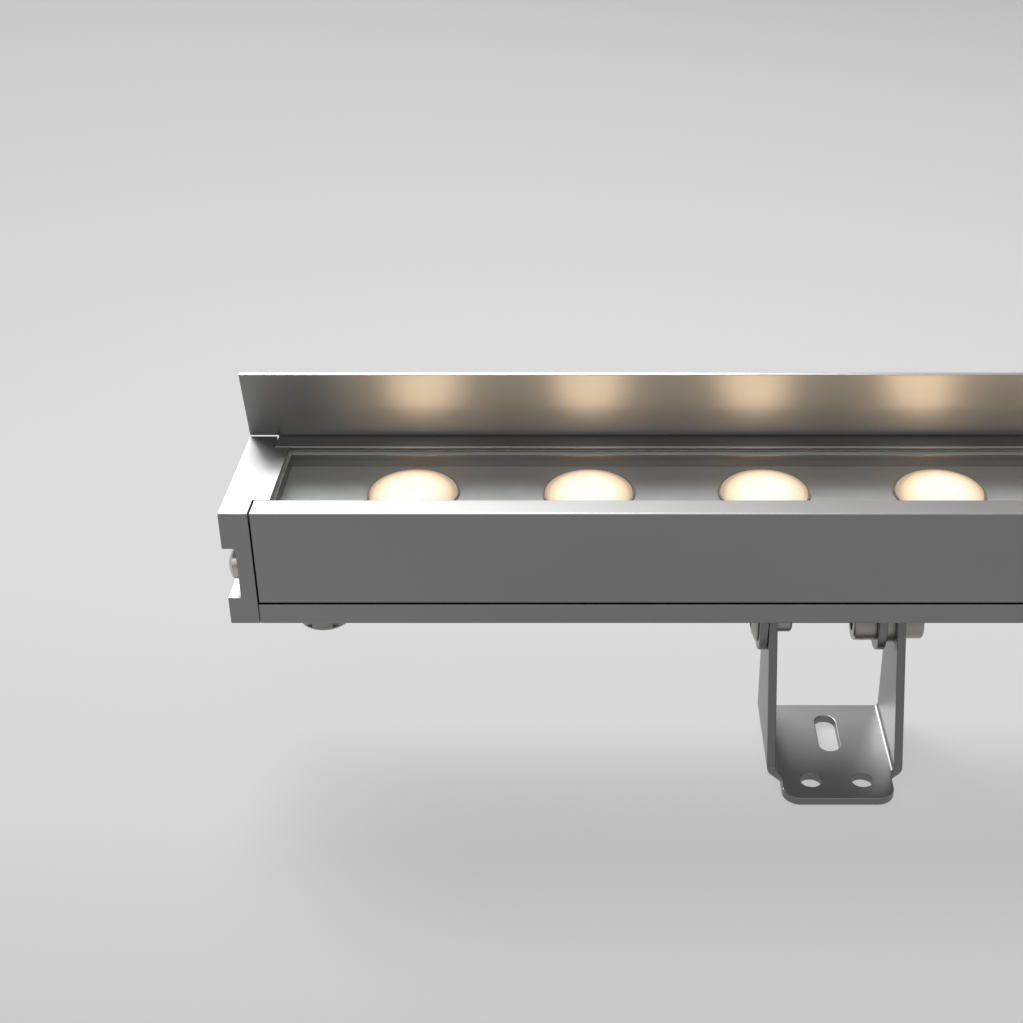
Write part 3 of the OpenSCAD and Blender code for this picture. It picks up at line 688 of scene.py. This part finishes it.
LOOKS = {
    "end_cap_screws": screw_bright,
    "visor_screws": screw_steel,
    "lug_screws": screw_steel,
    "gland_body": gland_metal,
    "gland_nut": gland_metal,
    "gland_lock_nut": gland_metal,
    "gland_seals": rubber,
    "glass_seal": rubber,
    "end_gasket_left": rubber,
    "end_gasket_right": rubber,
    "chamber_floor": chamber_metal,
    "light_board": white_board,
    "light_chips": chip_yellow,
    "driver_board": circuit_green,
    "driver_parts": driver_dark,
    "terminal_block": terminal_white,
    "inner_leads": lead_red,
}
LOOKS.update({f"lens_holder_{i}": holder_plastic for i in LENSES})
for node, look in LOOKS.items():
    dress(node, look)


# Stage, lights and camera


def floor_paper():
    """Pale paper with painted shade: it darkens a little to the front, to the rear and to the
    sides, as light falling off would make it. It glows for the camera and for gloss and glass, so
    that shadows on it stay soft. From below it is clear."""
    front_y, depth_y = -0.2, 1.3
    middle_x, side_fade, most_fade = -0.1, 1.3, 0.4
    glow_strength = 0.53
    made = bpy.data.materials.new("floor_paper")
    finish = Finish(made)
    place = finish.place()
    # Painted shade: the paper is darker at the front and the rear, for light that falls off.
    depth = (finish.part(place, 1) - front_y) / depth_y
    levels = [
        (0.0, 0.76), (0.08, 0.76), (0.14, 0.93), (0.24, 0.98),
        (0.38, 0.90), (0.54, 0.77), (0.85, 0.54), (1.0, 0.58),
    ]
    stops = [(stop, grey(level)) for stop, level in levels]
    shade = finish.add("ShaderNodeValToRGB", {"stops": stops}, {0: depth})
    # Painted shade towards the sides, for light that falls off.
    aside = (finish.part(place, 0) - middle_x) ** 2 * side_fade
    faded = finish.mixed(finish.maths("MINIMUM", aside, most_fade), shade, grey(0.42))
    paper = finish.add("ShaderNodeBsdfDiffuse", inputs={"Color": grey(0.08)})
    strength = finish.seen() * glow_strength
    glow = finish.add("ShaderNodeEmission", inputs={"Color": faded, "Strength": strength})
    both = finish.add("ShaderNodeAddShader", inputs={0: paper, 1: glow})
    below = finish.add("ShaderNodeNewGeometry", output="Backfacing")
    clear = finish.add("ShaderNodeBsdfTransparent")
    sheet = finish.add("ShaderNodeMixShader", inputs={0: below, 1: both, 2: clear})
    finish.add("ShaderNodeOutputMaterial", inputs={"Surface": sheet})
    return made


def floor():
    """A wide round sheet just under the feet."""
    drop = 0.4 * MM
    radius = 9.0
    shape = bmesh.new()
    bmesh.ops.create_circle(shape, cap_ends=True, radius=radius, segments=96)
    mesh = mesh_of(shape, "floor")
    mesh.materials.append(floor_paper())
    piece = placed("floor", mesh)
    piece.location = (0, 0, -drop)


def world():
    """Pale surroundings, brightest at the front above the lamp. They are seen a little paler than
    the light that they give."""
    light_level, seen_level, bright_level = grey(0.2), grey(0.36), grey(0.8)
    made = bpy.data.worlds.new("studio")
    bpy.context.scene.world = made
    sky = Finish(made)
    way = sky.add("ShaderNodeTexCoord", output="Generated")

    def step(axis, start, end):
        inputs = {0: sky.part(way, axis), 1: start, 2: end, 3: 0.0, 4: 1.0}
        return sky.add("ShaderNodeMapRange", {"interpolation_type": "SMOOTHSTEP"}, inputs)

    upper = step(2, 0.1, 0.5)
    front = step(1, 0.4, -0.4)
    low = sky.mixed(sky.seen(), light_level, seen_level)
    level = sky.mixed(upper * front, low, bright_level)
    background = sky.add("ShaderNodeBackground", inputs={"Color": level, "Strength": 1.0})
    sky.add("ShaderNodeOutputWorld", inputs={"Surface": background})


def camera():
    """The photograph's angle: from the front, left of the middle and 29 degrees down."""
    down = 29.006
    view = bpy.data.cameras.new("camera")
    view.sensor_width = 36
    view.lens = 57.18
    view.shift_x = -0.0861
    view.shift_y = 0.0008
    view.clip_start = 0.01
    view.clip_end = 50
    holder = placed("camera", view)
    holder.location = (-0.18642, -0.33875, 0.25492)
    holder.rotation_euler = (math.radians(90 - down), 0, 0)
    bpy.context.scene.camera = holder


def area_light(name, shape, size, power, place, target):
    """A light that the camera doesn't see, neither straight nor through the glass."""
    light = bpy.data.lights.new(name, "AREA")
    light.shape = shape
    light.size = size
    light.energy = power
    holder = placed(name, light)
    holder.location = place
    holder.rotation_euler = (target - place).to_track_quat("-Z", "Y").to_euler()
    holder.visible_camera = False
    holder.visible_transmission = False
    return light


def lens_lights():
    """The light that each lens throws on the visor: warm discs over its dome and over the
    glass."""
    disc_size = 19 * MM
    over_dome, over_glass = 0.1 * MM, 0.2 * MM
    inner_power, outer_power = 0.021, 0.003
    warm_white = (1.0, 0.7, 0.43)
    up = Vector((0, 0, 1))
    glass_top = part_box("glass")[1][2]
    for i in LENSES:
        low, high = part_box(f"lens_{i}")
        for name, z, power in (
            ("inner", high[2] + over_dome, inner_power),
            ("outer", glass_top + over_glass, outer_power),
        ):
            place = Vector(((low[0] + high[0]) / 2, (low[1] + high[1]) / 2, z))
            light = area_light(
                f"lens_light_{name}_{i}", "DISK", disc_size, power, place, place + up
            )
            light.color = warm_white


def soft_box(name, turn, rise, power):
    """A square soft box 2.5 m from the lamp's left half. turn runs from the rear to the right."""
    distance = 2.5
    size = 1.0
    turn, rise = math.radians(turn), math.radians(rise)
    middle = Vector((-0.18, 0.0, 0.05))
    way = Vector((
        math.cos(rise) * math.sin(turn),
        math.cos(rise) * math.cos(turn),
        math.sin(rise),
    ))
    area_light(name, "SQUARE", size, power, middle + way * distance, middle)


floor()
world()
camera()
lens_lights()
soft_box("left_box", -60, 40, 15)
soft_box("rear_box", -40, 42, 76)
soft_box("middle_box", -20, 42, 8)
soft_box("top_box", -20, 58, 84)
soft_box("front_box", 180, 50, 6)
bpy.context.scene.view_settings.view_transform = "Standard"
